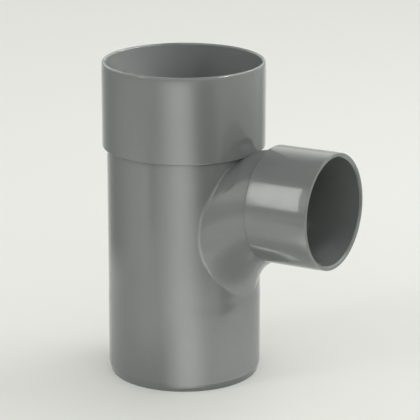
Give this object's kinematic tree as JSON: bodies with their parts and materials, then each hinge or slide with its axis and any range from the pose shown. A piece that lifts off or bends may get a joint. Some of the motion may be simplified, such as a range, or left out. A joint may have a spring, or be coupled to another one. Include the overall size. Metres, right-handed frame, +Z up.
{
  "type": "pvc tee",
  "caption": "Grey PVC drain tee moulded in one piece: plain spigot below, solvent socket above, and a smaller socket branch at 88.5 degrees on a swept neck.",
  "frame": {"origin": "centre of the spigot's end, on the run's axis", "axes": "+Z up the run towards its socket, +X out along the branch, which rises 1.5 degrees above +X"},
  "size_m": [0.1819, 0.116, 0.229],
  "materials": {
    "grey_pvc": "injection-moulded grey PVC-U, satin gloss"
  },
  "bodies": {
    "root": {"tee_body": "grey_pvc"}
  },
  "joints": []
}
